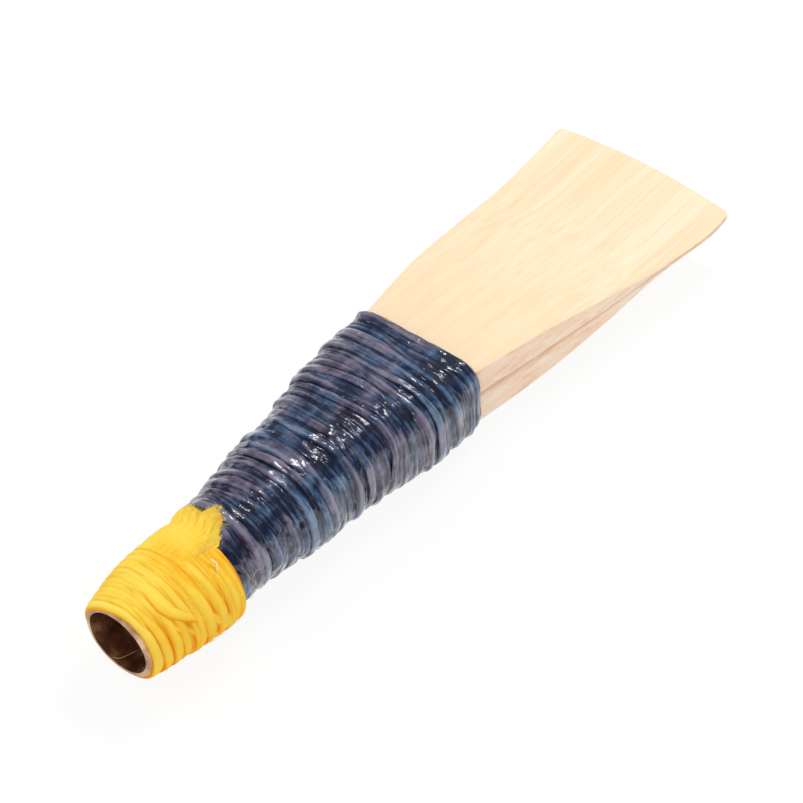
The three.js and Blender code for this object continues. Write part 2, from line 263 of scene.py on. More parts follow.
def addNode(tree, kind, inputs=None, **settings):
    made = tree.nodes.new("ShaderNode" + kind)
    for key, value in settings.items():
        setattr(made, key, value)
    for key, value in (inputs or {}).items():
        if isinstance(value, bpy.types.NodeSocket):
            tree.links.new(value, made.inputs[key])
        else:
            made.inputs[key].default_value = value
    return made


def mathNode(tree, operation, a, b=0, clamp=False):
    return addNode(tree, "Math", {0: a, 1: b}, operation=operation, use_clamp=clamp).outputs[0]


def mixNode(tree, share, a, b):
    return addNode(tree, "Mix", {0: share, 6: a, 7: b}, data_type="RGBA").outputs[2]


# Sum of terms, each of them a socket less its middle, times its weight. A clamped sum stays between 0 and 1.
def weighedSum(tree, terms, clamp=False):
    total = None
    for number, (value, middle, weight) in enumerate(terms):
        if middle:
            value = mathNode(tree, "SUBTRACT", value, middle)
        if weight != 1:
            value = mathNode(tree, "MULTIPLY", value, weight)
        if total is not None:
            value = mathNode(tree, "ADD", total, value, clamp and number == len(terms) - 1)
        total = value
    return total


def tintNode(tree, share, tint, colour):
    return mixNode(tree, mathNode(tree, "MULTIPLY", share, tint[0]), colour, tint[1])


def rampNode(tree, value, stops):
    made = addNode(tree, "ValToRGB", {"Fac": value})
    elements = made.color_ramp.elements
    while len(elements) < len(stops):
        elements.new(0.5)
    for element, (place, colour) in zip(elements, stops):
        element.position = place
        element.color = (*colour, 1)
    return made.outputs["Color"]


# Noise stretched by a scale in three directions, on the piece's own place or on its UV map.
def noiseNode(tree, scale, detail, roughness, onMap=False):
    if onMap:
        place = addNode(tree, "UVMap", uv_map="alongRound").outputs[0]
    else:
        place = addNode(tree, "TexCoord").outputs["Object"]
    mapped = addNode(tree, "Mapping", {"Vector": place, "Scale": scale}).outputs[0]
    inputs = {"Vector": mapped, "Scale": 1, "Detail": detail, "Roughness": roughness}
    return addNode(tree, "TexNoise", inputs).outputs[0]


def startLook(name, look):  # a material, its tree, the three tones that addSurface stores, the look's noises
    material, tree = startMaterial(name)
    stored = addNode(tree, "Attribute", attribute_name="tone").outputs["Vector"]
    tones = addNode(tree, "SeparateXYZ", {"Vector": stored}).outputs
    return material, tree, tones, [noiseNode(tree, *noise) for noise in look["noises"]]


def setPlain(shader, plain):
    for key, value in plain.items():
        shader.inputs[key].default_value = value


def finishMaterial(material, tree, look, colour, height, **linked):
    shader = tree.nodes["Principled BSDF"]
    setPlain(shader, look["plain"])
    strength, distance = look["relief"]
    inputs = {"Height": height, "Strength": strength, "Distance": distance}
    relief = addNode(tree, "Bump", inputs).outputs[0]
    linked.update({"Base Color": colour, "Normal": relief, "Coat Normal": relief})
    for key, value in linked.items():
        tree.links.new(value, shader.inputs[key])
    return material


# A look's noises are scale, detail, roughness and True for one on the UV map. Its ramps are places and
# colours, its tints their greatest share and colour, its relief the bump's strength and distance in metres.
caneLook = {
    "noises": [
        ((110, 3200, 3200), 4, 0.6),  # grain
        ((16, 760, 760), 2, 0.5),  # streaks
        ((170, 420, 420), 2, 0.5),  # clouds
        ((900, 4200, 4200), 1, 0.5),  # specks
        ((150, 2400, 2400), 5, 0.7),  # torn fibres of the cut side
    ],
    "grain": [(0.36, (0.91, 0.7, 0.43)), (0.5, (0.965, 0.79, 0.545)), (0.64, (0.99, 0.86, 0.66))],
    "streaks": [(0.38, (0.9, 0.67, 0.41)), (0.5, (0.965, 0.78, 0.53)), (0.66, (0.99, 0.84, 0.61))],
    "specks": [(0.74, (0, 0, 0)), (0.82, (0.12, 0.12, 0.12))],
    "cutSide": [(0.34, (0.89, 0.6, 0.41)), (0.5, (1, 0.75, 0.555)), (0.68, (1, 0.88, 0.73))],
    "streakShare": 0.38,
    "rootTint": (0.55, (0.955, 0.7, 0.44, 1)),  # next to the binding
    "cloudTint": (0.25, (0.985, 0.82, 0.55, 1)),
    "seamPaintedShade": (0.35, (0.76, 0.5, 0.35, 1)),  # painted shade where the two blades meet
    "speckColour": (0.55, 0.3, 0.14, 1),
    "cutRelief": 2,
    "plain": {"Roughness": 0.6, "Specular IOR Level": 0.3},
    "relief": (0.35, 0.00003),
}


# Cane: pale and dry, with fine grain along the reed, warmer towards the binding and pinker on its cut sides,
# with painted shade in the seam where the blades meet.
def makeCane():
    material, tree, (warmth, _, cut), noises = startLook("paleCane", caneLook)
    grain, streaks, clouds, specks, torn = noises
    face = rampNode(tree, grain, caneLook["grain"])
    face = mixNode(tree, caneLook["streakShare"], face, rampNode(tree, streaks, caneLook["streaks"]))
    face = tintNode(tree, warmth, caneLook["rootTint"], face)
    face = tintNode(tree, clouds, caneLook["cloudTint"], face)
    # painted shade on the rounded seam edge, where the two blades meet
    seam = mathNode(tree, "SUBTRACT", cut, 1, True)
    side = tintNode(tree, seam, caneLook["seamPaintedShade"], rampNode(tree, torn, caneLook["cutSide"]))
    colour = mixNode(tree, cut, face, side)
    colour = mixNode(tree, rampNode(tree, specks, caneLook["specks"]), colour, caneLook["speckColour"])
    cutRelief = mathNode(tree, "MULTIPLY", cut, caneLook["cutRelief"])
    height = mathNode(tree, "ADD", grain, mathNode(tree, "MULTIPLY", torn, cutRelief))
    return finishMaterial(material, tree, caneLook, colour, height)


waxLook = {
    "noises": [
        ((1.3, 9, 1), 3, 0.65, True),  # fibres
        ((1.5, 3.4, 1), 0, 0.5, True),  # lumps of wax
        ((620, 900, 900), 3, 0.6),  # patches
        ((300, 480, 480), 2, 0.5),  # hue
    ],
    "blue": [(0.14, (0.006, 0.012, 0.04)), (0.36, (0.03, 0.058, 0.132)),
             (0.6, (0.074, 0.142, 0.258)), (0.9, (0.16, 0.24, 0.355))],
    "slate": [(0.14, (0.011, 0.01, 0.034)), (0.36, (0.062, 0.054, 0.102)),
              (0.6, (0.128, 0.112, 0.176)), (0.9, (0.222, 0.196, 0.274))],
    "toSlate": [(0.42, (0, 0, 0)), (0.58, (1, 1, 1))],
    "fibreRelief": 0.16,
    "plain": {"Roughness": 0.5, "Specular IOR Level": 0.2,
              "Coat Weight": 1, "Coat Roughness": 0.03, "Coat IOR": 1.64},
    "relief": (1, 0.00015),
}


# Waxed thread: blue or slate on the plies and nearly black in the hollows, where shade is painted. Painted
# sheen makes it paler on top and outside, painted shade darker on the shoulder. Lumps in its coat of wax
# break up the glints.
def makeWaxedThread():
    material, tree, (shade, outness, paintedSheenShade), noises = startLook("waxedThread", waxLook)
    fibres, lumps, patches, hue = noises
    # painted shade: darker in the hollows and on lower strands; painted sheen and shade by the angle round
    terms = [(outness, 0.68, 2), (patches, 0.5, 1.7), (fibres, 0.5, 0.95), (shade, 0.5, 0.2), (paintedSheenShade, 0, 1)]
    value = weighedSum(tree, terms, True)
    terms = [(shade, 0, 0.25), (hue, 0, 0.75), (value, 0.5, 0.15), (paintedSheenShade, 0, 0.35)]
    share = rampNode(tree, weighedSum(tree, terms), waxLook["toSlate"])
    blue, slate = (rampNode(tree, value, waxLook[key]) for key in ("blue", "slate"))
    colour = mixNode(tree, share, blue, slate)
    height = mathNode(tree, "ADD", mathNode(tree, "MULTIPLY", fibres, waxLook["fibreRelief"]), lumps)
    return finishMaterial(material, tree, waxLook, colour, height)


hempLook = {
    "noises": [
        ((0.7, 9, 1), 4, 0.7, True),  # fibres
        ((420, 420, 420), 3, 0.5),  # patches
    ],
    "yellow": [(0, (0.96, 0.4, 0.012)), (0.25, (0.98, 0.53, 0.028)),
               (0.55, (1, 0.69, 0.075)), (0.9, (1, 0.765, 0.125))],
    "orange": [(0, (0.88, 0.3, 0.008)), (0.3, (0.99, 0.5, 0.02)),
               (0.6, (1, 0.62, 0.052)), (0.9, (1, 0.69, 0.09))],
    "plain": {"Roughness": 0.85, "Specular IOR Level": 0.12},
    "relief": (0.5, 0.00007),
}


# Hemp: yellow and fibrous, deeper orange between its cords and on its lower near side, both painted shade.
def makeHempFibre():
    material, tree, (shade, outness, warmth), (fibres, patches) = startLook("yellowHemp", hempLook)
    # painted shade: the hemp goes orange where a point lies low, between the cords
    terms = [(outness, 0.74, 2.7), (fibres, 0.5, 1), (patches, 0.5, 1.1), (shade, 0, 0.1)]
    value = weighedSum(tree, terms, True)
    yellow, orange = (rampNode(tree, value, hempLook[key]) for key in ("yellow", "orange"))
    # painted shade: mixed towards orange on the lower near side
    colour = mixNode(tree, warmth, yellow, orange)
    return finishMaterial(material, tree, hempLook, colour, fibres)


copperLook = {
    "noises": [((900, 900, 900), 4, 0.6)],  # wear
    "rim": [(0.32, (0.3, 0.15, 0.07)), (0.5, (0.56, 0.33, 0.18)), (0.68, (0.88, 0.62, 0.4))],
    "bore": [(0.35, (0.08, 0.021, 0.01)), (0.5, (0.155, 0.052, 0.024)), (0.66, (0.31, 0.16, 0.07))],
    "metallic": 0.3,  # at the rim, and none in the bore
    "boreRoughness": 0.3,
    "wearRoughness": 0.8,
    "plain": {"Specular IOR Level": 0.15},
    "relief": (0.25, 0.00004),
}


# Copper: worn and dull at the rim, dark brown down the bore.
def makeCopper():
    material, tree, (_, _, bore), [wear] = startLook("wornCopper", copperLook)
    bright, dark = (rampNode(tree, wear, copperLook[key]) for key in ("rim", "bore"))
    colour = mixNode(tree, bore, bright, dark)
    lost = mathNode(tree, "MULTIPLY", bore, copperLook["metallic"])
    metallic = mathNode(tree, "SUBTRACT", copperLook["metallic"], lost)
    terms = [(bore, 0, copperLook["boreRoughness"]), (wear, 0, copperLook["wearRoughness"])]
    linked = {"Metallic": metallic, "Roughness": weighedSum(tree, terms)}
    return finishMaterial(material, tree, copperLook, colour, wear, **linked)


fleckLook = {
    "noises": [((3, 20, 1), 2, 0.5, True)],  # fibres
    "dry": [(0.3, (0.46, 0.29, 0.13)), (0.7, (0.74, 0.53, 0.28))],
    "pale": (1, 0.82, 0.5, 1),
    "plain": {"Roughness": 0.8, "Specular IOR Level": 0.1},
    "relief": (0.3, 0.00001),
}


# Flecks: dry fibres caught in the windings and in the bore, from brown to pale.
def makeFleck():
    material, tree, (_, _, pale), [fibres] = startLook("paleFibre", fleckLook)
    colour = mixNode(tree, pale, rampNode(tree, fibres, fleckLook["dry"]), fleckLook["pale"])
    return finishMaterial(material, tree, fleckLook, colour, fibres)


caneMaterial = makeCane()
waxMaterial = makeWaxedThread()
hempMaterial = makeHempFibre()
copperMaterial = makeCopper()
fleckMaterial = makeFleck()
print("materials made")


staple = {
    "diameter": 4.7,
    "wall": 0.38,
    "eyeWidth": 6.2,
    "eyeHeight": 2.72,
    "roundLength": 8,
    "nose": 0.08,  # how far the bore's edge stands before the end plane
    "outerEdge": 0.1,
    "innerEdge": 0.03,
    "columns": 160, "edgeSteps": 12, "outsideSteps": 60, "boreSteps": 80, "sharpFrom": 60,
}


def stapleHalfSizes(x):
    ease = easeStep(x, staple["roundLength"], stapleLength)
    return tuple(between(staple["diameter"], staple[key], ease) / 2 for key in ("eyeWidth", "eyeHeight"))


# Staple: a tube whose round section eases to the oval eye. Its profile starts at the worn nose of the rim and
# runs round the outer edge, a quarter of an ellipse, up the outside, down the bore and round the inner edge.
def makeStaple():
    wall, outer, inner, nose = staple["wall"], staple["outerEdge"], staple["innerEdge"], staple["nose"]
    quarter = np.linspace(0, math.pi / 2, staple["edgeSteps"])
    outside = np.linspace(outer, stapleLength, staple["outsideSteps"])[1:]
    bore = np.linspace(stapleLength, inner - nose, staple["boreSteps"])
    x = np.concatenate([
        outer - (outer + nose) * np.cos(quarter),
        outside,
        bore,
        inner - nose - inner * np.sin(quarter[1:-1]),
    ])
    inset = np.concatenate([
        (wall - inner) * (1 - np.sin(quarter)),
        np.zeros(len(outside)),
        np.full(len(bore), wall),
        wall - inner + inner * np.cos(quarter[1:-1]),
    ])
    angle = fullTurn(staple["columns"])
    halfWidth, halfHeight = stapleHalfSizes(x)
    y = (halfWidth - inset)[:, None] * np.cos(angle)
    z = (halfHeight - inset)[:, None] * np.sin(angle)
    grid = np.stack([np.broadcast_to(x[:, None], y.shape), y, z], -1)
    tones = 0, 0, easeStep(inset, wall - inner, wall)[:, None]
    addSurface("stapleTube", grid, tones, copperMaterial, ["staple"], "loop", staple["sharpFrom"])


makeStaple()


blade = {
    "tailEnd": 11.6,
    "bindingTop": 24.8,
    "tailThickness": 0.3,
    "sideThickness": 0.63,
    "faceThickness": 0.8,
    "seatGap": 0.04,
    "rootCrown": 0.2,
    "lipWidth": 12.36,
    "lipSide": 0.15,
    "lipCrown": 0.35,
    "lipOpening": 0.44,
    "lipLand": 0.5,
    "lipCorner": 0.4,
    "lipBow": 0.12,
    "arris": 0.08,
    "seamRound": 0.4,
    "seamRoundLoss": 0.65,  # share of it that is gone at the lips
    "seam": 0.012,  # half the gap between the blades
    "ragged": 0.035,
    "gougePlay": 0.03,  # between the staple and the gouge
    "leastWall": 0.06,
    "stations": [0, 0.23, 0.47, 0.69, 0.93, 1],
    "widthShares": [0.059, 0.372, 0.615, 0.81, 0.99, 1],
    "leans": [0.08, 0.03, -0.117, -0.19, -0.265, -0.14],  # how far the cut blade sits off the axis
    "tailLean": 0.4,  # share of the first lean that is left under the binding
    "leanFrom": 23,
    "sideShares": [1, 0.84, 0.46, 0.055, 0.01, 0],
    "gougeShares": [1, 0.82, 0.48, 0.05, 0.01, 0],
    "squareness": 5,
    "boxedFrom": 24,  # from here to the binding's top the rounded section turns into the cut one
    "cutFull": 24.6,  # from boxedFrom to here the side takes its cut colour
    "tailSteps": 56, "freeSteps": 150, "cornerSteps": 14,
    "edgeSteps": 8, "wallSteps": 7, "faceSteps": 29, "sharpFrom": 50,
}


def claspSizes(x):  # outside of both blades where they clasp the staple
    halfWidth, halfHeight = stapleHalfSizes(x)
    share = np.clip((x - blade["tailEnd"]) / (blade["bindingTop"] - blade["tailEnd"]), 0, 1)
    side = between(blade["tailThickness"], blade["sideThickness"], share)
    face = between(blade["tailThickness"], blade["faceThickness"], share)
    squareness = between(2, blade["squareness"], share**2)
    return halfWidth + blade["seatGap"] + side, halfHeight + blade["seatGap"] + face, squareness, share


def bladeSizes(x):  # half width, height of the side, rise of the crown, squareness, share of the free length
    rootWidth, rootHeight, squareness, claspShare = claspSizes(np.minimum(x, blade["bindingTop"]))
    share = np.clip((x - blade["bindingTop"]) / (reedLength - blade["bindingTop"]), 0, 1)
    rootCrown = blade["rootCrown"] * claspShare
    halfWidth = between(rootWidth, blade["lipWidth"] / 2, atStations(blade, "widthShares", share))
    sideShare = np.clip(atStations(blade, "sideShares", share), 0, 1)
    side = between(blade["lipSide"], rootHeight - rootCrown, sideShare)
    crown = between(rootCrown, blade["lipCrown"], share)
    into = np.clip((x - (reedLength - blade["lipCorner"])) / blade["lipCorner"], 0, 1)
    halfWidth = halfWidth - blade["lipCorner"] * (1 - np.sqrt(np.maximum(0, 1 - into**2)))
    return halfWidth, side, crown, squareness, share


# Outside of the upper blade: the rounded seam edge, the upright, ragged side, the arris and the face, whose
# crown falls with the square of the place across. Under the binding it eases to a rounded section.
def bladeOutside(x):
    halfWidth, side, crown, squareness, share = (value[:, None] for value in bladeSizes(x))
    seam = blade["seam"]
    height = np.maximum(side - seam, 0.01)
    arris = np.minimum(blade["arris"], height * 0.4)
    rounding = blade["seamRound"] * (1 - blade["seamRoundLoss"] * easeStep(share, 0.1, 0.5))
    rounding = np.minimum(rounding, height * 0.5)
    quarter = np.linspace(0, math.pi / 2, blade["edgeSteps"])
    rise = np.linspace(0, 1, blade["wallSteps"] + 2)[1:-1]
    inward = np.linspace(1, 0, blade["faceSteps"] + 1)[1:]
    seamY = halfWidth - 0.5 * rounding * (1 - np.sin(quarter))
    seamZ = seam + rounding * (1 - np.cos(quarter))
    wallZ = seam + rounding + (height - rounding - arris) * rise
    wallY = np.broadcast_to(halfWidth, wallZ.shape)
    arrisY = halfWidth - arris * (1 - np.cos(quarter))
    arrisZ = seam + height - arris + arris * np.sin(quarter)
    faceY = (halfWidth - arris) * inward
    faceZ = np.broadcast_to(seam + height, faceY.shape)
    rowNumber = np.arange(len(x))[:, None]
    notch = wander(rowNumber, 1.3, 5) + wander(rowNumber, 3.1, 6)
    wallY = wallY + blade["ragged"] * easeStep(share, 0, 0.05) * notch * np.sin(rise * math.pi)
    halfY = np.concatenate([seamY, wallY, arrisY, faceY], 1)
    halfZ = np.concatenate([seamZ, wallZ, arrisZ, faceZ], 1)
    halfZ = halfZ + crown * (1 - (halfY / halfWidth) ** 2) * easeStep(halfZ, seam, seam + height)
    boxedY = np.concatenate([halfY, -halfY[:, -2::-1]], 1)
    boxedZ = np.concatenate([halfZ, halfZ[:, -2::-1]], 1)
    angle = np.arctan2(boxedZ / (side + crown), boxedY / halfWidth)
    rounded, _ = sectionPoint(angle, halfWidth, side + crown, squareness)
    boxed = easeStep(x[:, None], blade["boxedFrom"], blade["bindingTop"])
    y = rounded[..., 0] * (1 - boxed) + boxedY * boxed
    z = np.maximum(rounded[..., 1] * (1 - boxed) + boxedZ * boxed, seam)
    return y, z, halfWidth, share


# Gouge of the upper blade: half the staple's oval, then a lens that thins towards the lips.
def bladeGouge(x, count, halfWidth):
    rootWidth, rootHeight = stapleHalfSizes(np.minimum(x, stapleLength))
    opened = np.clip((x - stapleLength) / (reedLength - stapleLength), 0, 1)
    gougeShare = np.clip(atStations(blade, "gougeShares", opened), 0, 1)
    lipWidth, lipHeight = blade["lipWidth"] / 2 - blade["lipLand"], blade["lipOpening"] / 2
    width = rootWidth + blade["gougePlay"] + (lipWidth - rootWidth) * atStations(blade, "widthShares", opened)
    height = between(lipHeight, rootHeight + blade["gougePlay"], gougeShare)
    back = np.linspace(math.pi, 0, count)
    y = np.clip(width * np.cos(back), blade["leastWall"] - halfWidth, halfWidth - blade["leastWall"])
    z = np.maximum(height * np.sin(back), blade["seam"])
    return y, z


# Upper blade: rings of an outside and a gouge with as many points each, bowed at the lips and off the axis.
def bladeGrid():
    cornerFrom = reedLength - blade["lipCorner"]
    quarter = np.linspace(0, math.pi / 2, blade["cornerSteps"])
    x = np.concatenate([
        np.linspace(blade["tailEnd"], stapleLength, blade["tailSteps"])[:-1],
        np.linspace(stapleLength, cornerFrom, blade["freeSteps"])[:-1],
        reedLength - blade["lipCorner"] * (1 - np.sin(quarter)),
    ])
    outY, outZ, halfWidth, share = bladeOutside(x)
    x = x[:, None]
    count = outY.shape[1]
    inY, inZ = bladeGouge(x, count, halfWidth)
    y = np.concatenate([outY, inY], 1)
    z = np.concatenate([outZ, inZ], 1)
    bow = blade["lipBow"] * share**2 * (y / (blade["lipWidth"] / 2)) ** 2
    kept = between(blade["tailLean"], 1, easeStep(x, blade["leanFrom"], blade["bindingTop"]))
    lean = atStations(blade, "leans", share) * kept
    grid = np.stack([x - bow, y + lean, z], -1)
    cut = np.concatenate([
        np.linspace(2, 1, blade["edgeSteps"]),
        np.ones(blade["wallSteps"]),
        1 - easeStep(np.linspace(0, 1, blade["edgeSteps"]), 0.1, 0.9),
        np.zeros(blade["faceSteps"]),
    ])
    cut = np.concatenate([cut, cut[-2::-1], np.full(count, 0.5)])
    cut = cut * easeStep(x, blade["boxedFrom"], blade["cutFull"])
    return grid, (1 - easeStep(share, 0, 0.75), 0, cut)


def makeBlades():
    grid, tones = bladeGrid()
    for name, node, flip in (("upperBlade", "upper_blade", 1), ("lowerBlade", "lower_blade", -1)):
        turned = grid * np.array([1, 1, flip])
        addSurface(name, turned, tones, caneMaterial, [node], "rungs", blade["sharpFrom"])


makeBlades()


# How often a strand changes, in turns from one knot to the next.
strandKnots = {"width": 0.4, "height": 0.45, "lumps": 0.035, "twist": 0.3, "shade": 0.3}
endSize = 0.3  # of a strand's full size that is left at its ends


# Strand: an oval with rounded plies round it, carried along a path of x and angle on a section. depth lifts
# its outer side over the section. How far out a point lies sets its painted shade: it counts less in the
# hollows between plies, and a strand that lies lower is painted darker.
def strandGrid(path, section, strand, seed):
    t, x, angle, depth = path
    width = strand["width"] * (1 + strand["uneven"] * wander(t, strandKnots["width"], seed))
    height = strand["height"] * (1 + 0.6 * strand["uneven"] * wander(t, strandKnots["height"], seed + 1))
    full = between(endSize, 1, easeStep(np.minimum(t, t[-1] - t), -0.02, strand["taper"]))
    width, height = width * full, height * full
    depth = depth + strand["lumps"] * wander(t, strandKnots["lumps"], seed + 4)
    twist = 2 * math.pi * t * strand["twist"] + 1.5 * wander(t, strandKnots["twist"], seed + 2)
    surface, normal = section(x, angle)
    around = fullTurn(strand["sides"]) + math.pi
    plies = np.abs(np.cos(strand["plies"] / 2 * around + twist[:, None] / 2))
    ripple = 1 - strand["plyDepth"] * (1 - plies)
    outward = height[:, None] / 2 * np.cos(around) * ripple
    sideways = width[:, None] / 2 * np.sin(around) * ripple
    middle = surface + normal * (depth - height / 2)[:, None]
    y = middle[:, :1] + normal[:, :1] * outward
    z = middle[:, 1:] + normal[:, 1:] * outward
    grid = keepOffFloor(np.stack([x[:, None] + sideways, y, z], -1))
    # painted shade: darker in the hollows between plies and where the strand lies lower
    outness = (np.cos(around) + 1) / 2 * (1 - strand["plyShade"] * (1 - plies))
    outness = outness + strand["liftShade"] * depth[:, None]
    shade = 0.5 + 0.5 * wander(t, strandKnots["shade"], seed + 3)[:, None]
    return grid, shade, outness


# Degrees round a section, from the far side at 0 over the top at 90 to the near side at 180.
sides = {
    "front": 178,  # where the hemp's cords stand out
    "frontSpread": 48,
    # painted shade: the hemp is painted orange from here, full, still full, to here, on its lower near side
    "orange": (105, 165, 250, 340),
    "shoulder": 134,  # where the wax is dark
    "shoulderSpread": 18,
    "under": (210, 240, 320, 350),
    # painted sheen on the wax all round, and painted shade at the shoulder and underneath
    "topPaintedSheen": 0.13,
    "shoulderPaintedShade": 0.27,
    "underPaintedShade": 0.06,
}


def inBand(around, low, full, last, gone):  # 1 from full to last, 0 below low and above gone
    return easeStep(around, low, full) * (1 - easeStep(around, last, gone))


def nearFront(angle):  # 1 at the front, 0 away from it
    apart = np.abs(np.degrees(angle) % 360 - sides["front"])
    return hump(np.minimum(apart, 360 - apart), 0, sides["frontSpread"])


def paintedShadeWarmth(angle):  # how orange the hemp is painted on its lower near side, as painted shade
    return inBand(np.degrees(angle) % 360, *sides["orange"])


def sheenShadeShare(angle):  # how much paler the wax is painted: painted sheen on top and outside, painted shade on the shoulder and a little underneath
    around = np.degrees(angle) % 360
    shoulder = sides["shoulderPaintedShade"] * hump(around, sides["shoulder"], sides["shoulderSpread"])
    return sides["topPaintedSheen"] - shoulder - sides["underPaintedShade"] * inBand(around, *sides["under"])


# Sleeve: the layers under a winding, a closed and ridged skin some depth under its outside. It lies deeper at
# the front, by the swell, and dips at both ends. The deeper it lies, the darker it is painted, as painted
# shade.
def makeSleeve(name, node, section, sleeve, material, shares):
    rows, columns, endDip, endLength = 240, 180, 0.12, 0.15
    low, high = sleeve["from"], sleeve["to"]
    xs, angles = np.meshgrid(np.linspace(low, high, rows), fullTurn(columns), indexing="ij")
    outer, normal = section(xs, angles)
    phase = 11.5 * xs + 0.9 * np.sin(2 * angles + xs) + 0.6 * np.sin(3 * angles - 1.7 * xs)
    ridges = sleeve["ridge"] * (np.sin(phase) + 0.6 * np.sin(1.9 * phase + angles))
    dip = endDip * hump(xs, low, endLength) + endDip * hump(xs, high, endLength)
    deep = sleeve["depth"] * (1 + sleeve["swell"] * nearFront(angles))
    skin = outer - normal * (deep + ridges + dip)[..., None]
    hollow = outer - normal * sleeve["inside"]
    skin, hollow = (np.concatenate([xs[..., None], place], -1) for place in (skin, hollow))
    grid = keepOffFloor(np.concatenate([skin, hollow[::-1]], 0))
    # painted shade: the deeper the skin lies, the darker
    outness = sleeve["tone"] - 2.5 * np.concatenate([deep + ridges, deep], 0)
    tones = 0, outness, np.concatenate([shares(angles), shares(angles)], 0)
    addSurface(name, grid, tones, material, [node], "loop", turnMap=True)


# Sizes at each station are those of the binding's outside. Its turns lie in twos, one lower than the other.
binding = {
    "stations": [6.3, 7.5, 8.6, *np.arange(9.5, 24), 24.8],
    "halfWidths": [2.92, 2.93, 2.97, 3.08, 3.22, 3.43, 3.63, 3.62, 3.56, 3.64,
                   3.76, 3.91, 4.15, 4.27, 4.37, 4.5, 4.56, 4.48, 4.39],
    "halfHeights": [2.9, 2.93, 2.97, 3.04, 3.1, 3.15, 3.2, 3.17, 3.15, 3.15,
                    3.16, 3.17, 3.18, 3.16, 3.11, 3.04, 2.95, 2.85, 2.76],
    "leans": [0, 0, 0.02, 0.03, 0.03, 0.03, 0.05, 0.06, 0.08, 0.09,
              0.12, 0.14, 0.11, 0.1, 0.03, 0.1, 0.04, 0.06, 0.06],
    "squareFrom": 11,
    "squareness": 3.6,
    "endSquareness": 0.9,  # added over the last turns
    "endSquareOver": (22.5, 24.5),
    "start": 6.3,
    "end": 24.75,
    "turns": 51,
    "stepsPerTurn": 66,
    "startAngle": 0.4,
    "depth": -0.055,
    "rise": 0.11,  # how far turns lie higher and lower at random
    "pairRise": 0.07,
    "pairPull": 0.07,
    "drift": 0.17,  # how far turns wander along the reed
    "endDepth": (-0.16, 0.12),  # the lowest that a turn may lie, and how much less at the end
    "endDepthOver": (23.4, 24.5),
    "strand": {"width": 0.64, "height": 0.42, "uneven": 0.3, "lumps": 0.05, "taper": 0.1, "twist": 1.7,
               "sides": 24, "plies": 5, "plyDepth": 0.13, "plyShade": 0.18, "liftShade": 1.5},
    "sleeve": {"from": 6.38, "to": 24.63, "depth": 0.12, "inside": 0.45, "tone": 1.12, "swell": 0,
               "ridge": 0.03},
}


def bindingSection(x, angle):
    share = np.clip((x - binding["squareFrom"]) / (binding["end"] - binding["squareFrom"]), 0, 1)
    squareness = between(2, binding["squareness"], share)
    squareness = squareness + binding["endSquareness"] * easeStep(x, *binding["endSquareOver"])
    halfSizes = atStations(binding, "halfWidths", x), atStations(binding, "halfHeights", x)
    place, normal = sectionPoint(angle, *halfSizes, squareness)
    place[..., 0] += atStations(binding, "leans", x)
    return place, normal


# Binding thread: one strand wound turn beside turn, whose place sways a little with the angle and the turn.
def makeBindingThread():
    turns, strand = binding["turns"], binding["strand"]
    t = np.linspace(0, turns, turns * binding["stepsPerTurn"] + 1)
    angle = 2 * math.pi * t + binding["startAngle"]
    pitch = (binding["end"] - binding["start"] - strand["width"]) / turns
    x = binding["start"] + strand["width"] / 2 + pitch * t
    edge = easeStep(np.minimum(t, turns - t), 0, 0.7)
    sway = 0.08 * np.sin(2 * angle + 0.9 * x) + 0.06 * np.sin(angle - 0.7 * x)
    sway = sway + 0.05 * np.sin(3 * angle + 2.1 * x) + binding["drift"] * wander(t, 0.17, 11)
    pairing = np.cos(math.pi * t + 2 * wander(t, 3, 10))
    x = x + edge * (sway + binding["pairPull"] * np.sin(math.pi * t))
    depth = edge * (binding["rise"] * wander(t, 0.2, 12) + binding["pairRise"] * pairing) + binding["depth"]
    lowest, lift = binding["endDepth"]
    depth = np.maximum(depth, lift * easeStep(x, *binding["endDepthOver"]) + lowest)
    grid, shade, outness = strandGrid((t, x, angle, depth), bindingSection, strand, 13)
    # painted sheen and painted shade by the angle round the binding
    tones = shade, outness, sheenShadeShare(angle)[:, None]
    addSurface("bindingThread", grid, tones, waxMaterial, ["binding_thread"])


makeBindingThread()
sleeve = binding["sleeve"]
makeSleeve("bindingSleeve", "binding_core", bindingSection, sleeve, waxMaterial, sheenShadeShare)


